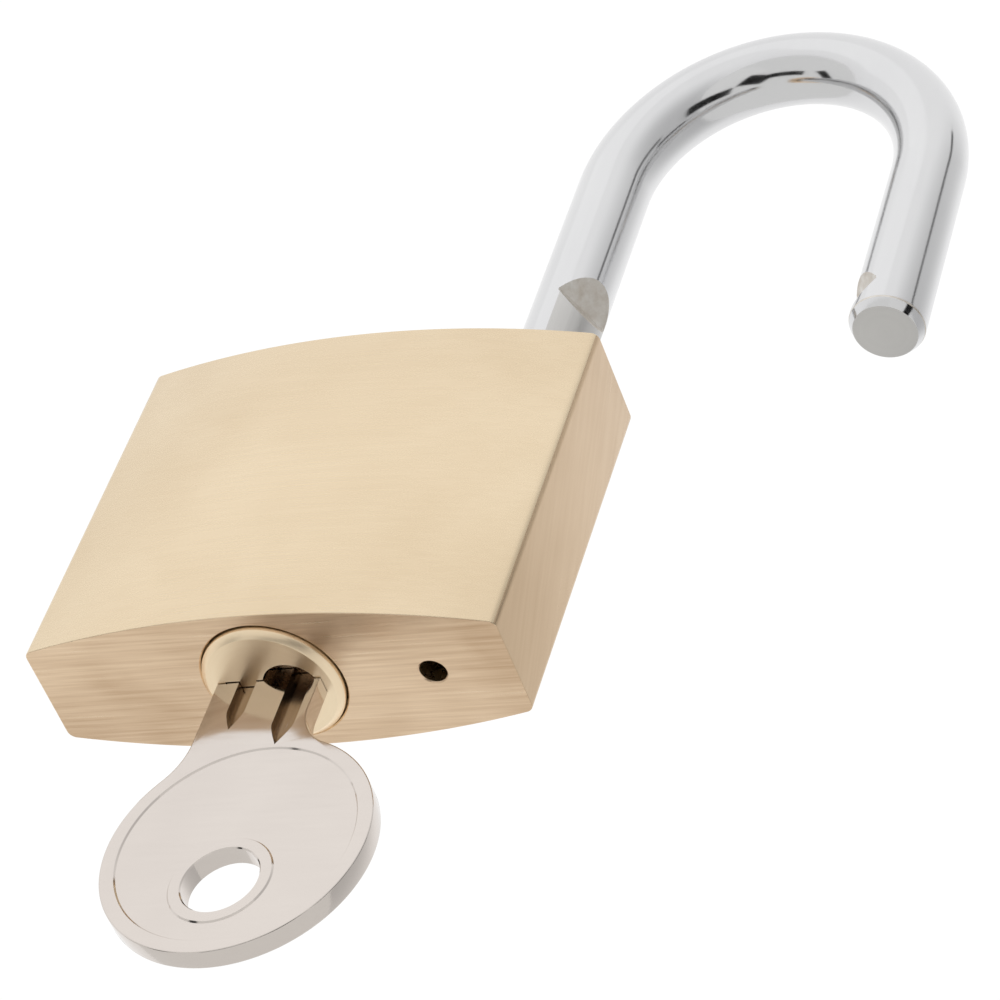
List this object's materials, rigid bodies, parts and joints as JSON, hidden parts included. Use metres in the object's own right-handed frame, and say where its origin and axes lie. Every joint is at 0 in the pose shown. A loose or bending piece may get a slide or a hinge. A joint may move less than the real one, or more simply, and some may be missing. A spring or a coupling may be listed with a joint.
{
  "type": "padlock",
  "caption": "Open pin-tumbler padlock: crowned brass block, lift-and-swing round-bar steel shackle, and a round-bow key in its plug.",
  "frame": {"origin": "keyway mouth: the point where the plug's axis meets the block's flat bottom face", "axes": "+Z along the plug's axis from the key up towards the shackle, +X towards the shackle's long leg, +Y towards the back of the block, away from its front face"},
  "size_m": [0.0819, 0.0178, 0.1348],
  "materials": {
    "brass_block": "satin, brushed",
    "brass_plugs": "satin",
    "brass_plug_face": "satin, turned",
    "cam_brass": "as cut",
    "pin_brass": "turned",
    "shackle_chrome": "polished chrome plate on steel",
    "key_nickel": "nickel plated, satin",
    "steel": "machined",
    "spring_steel": "drawn wire"
  },
  "bodies": {
    "block": {"body": "brass_block", "chamber_caps": "brass_plugs", "plug_retaining_pin": "brass_plugs", "bolt_channel_cap": "brass_plugs", "shackle_spring": "spring_steel", "driver_spring_1": "spring_steel", "driver_spring_2": "spring_steel", "driver_spring_3": "spring_steel", "driver_spring_4": "spring_steel", "driver_spring_5": "spring_steel"},
    "core": {"plug": "brass_plug_face", "cam_disc": "cam_brass", "key_pin_1": "pin_brass", "key_pin_2": "pin_brass", "key_pin_3": "pin_brass", "key_pin_4": "pin_brass", "key_pin_5": "pin_brass"},
    "key": {"key": "key_nickel"},
    "heel_bolt": {"heel_bolt": "steel", "heel_bolt_peg": "steel"},
    "toe_bolt": {"toe_bolt": "steel", "toe_bolt_peg": "steel"},
    "shackle_carrier": {"spring_cap": "steel"},
    "shackle": {"shackle": "shackle_chrome"},
    "driver_1": {"driver_pin_1": "pin_brass"},
    "driver_2": {"driver_pin_2": "pin_brass"},
    "driver_3": {"driver_pin_3": "pin_brass"},
    "driver_4": {"driver_pin_4": "pin_brass"},
    "driver_5": {"driver_pin_5": "pin_brass"}
  },
  "joints": [
    {"name": "shackle_lift", "type": "slide", "parent": "block", "child": "shackle_carrier", "axis": [0, 0, 1], "range_m": [-0.0156, 0], "stiffness_N_per_m": 400, "springref_m": 0.01, "deforming": ["shackle_spring"]},
    {"name": "shackle_swing", "type": "hinge", "parent": "shackle_carrier", "child": "shackle", "pos_m": [0.0175, 0, 0.042], "axis": [0, 0, 1], "range_deg": [-184.5, 175.5]},
    {"name": "plug_turn", "type": "hinge", "parent": "block", "child": "core", "pos_m": [0, 0, 0], "axis": [0, 0, 1], "range_deg": [0, 180]},
    {"name": "heel_bolt_slide", "type": "slide", "parent": "block", "child": "heel_bolt", "axis": [1, 0, 0], "range_m": [0, 0.0021]},
    {"name": "toe_bolt_slide", "type": "slide", "parent": "block", "child": "toe_bolt", "axis": [-1, 0, 0], "range_m": [0, 0.0021]},
    {"name": "key_withdraw", "type": "slide", "parent": "core", "child": "key", "axis": [0, 0, -1], "range_m": [0, 0.03]},
    {"name": "driver_slide_1", "type": "slide", "parent": "block", "child": "driver_1", "axis": [-1, 0, 0], "range_m": [0, 0.002], "stiffness_N_per_m": 60, "springref_m": -0.003, "deforming": ["driver_spring_1"]},
    {"name": "driver_slide_2", "type": "slide", "parent": "block", "child": "driver_2", "axis": [-1, 0, 0], "range_m": [0, 0.002], "stiffness_N_per_m": 60, "springref_m": -0.003, "deforming": ["driver_spring_2"]},
    {"name": "driver_slide_3", "type": "slide", "parent": "block", "child": "driver_3", "axis": [-1, 0, 0], "range_m": [0, 0.002], "stiffness_N_per_m": 60, "springref_m": -0.003, "deforming": ["driver_spring_3"]},
    {"name": "driver_slide_4", "type": "slide", "parent": "block", "child": "driver_4", "axis": [-1, 0, 0], "range_m": [0, 0.002], "stiffness_N_per_m": 60, "springref_m": -0.003, "deforming": ["driver_spring_4"]},
    {"name": "driver_slide_5", "type": "slide", "parent": "block", "child": "driver_5", "axis": [-1, 0, 0], "range_m": [0, 0.002], "stiffness_N_per_m": 60, "springref_m": -0.003, "deforming": ["driver_spring_5"]}
  ],
  "couplings": [
    {"joint": "heel_bolt_slide", "follows": "plug_turn", "m_per_rad": 0.00066845},
    {"joint": "toe_bolt_slide", "follows": "plug_turn", "m_per_rad": 0.00066845}
  ]
}
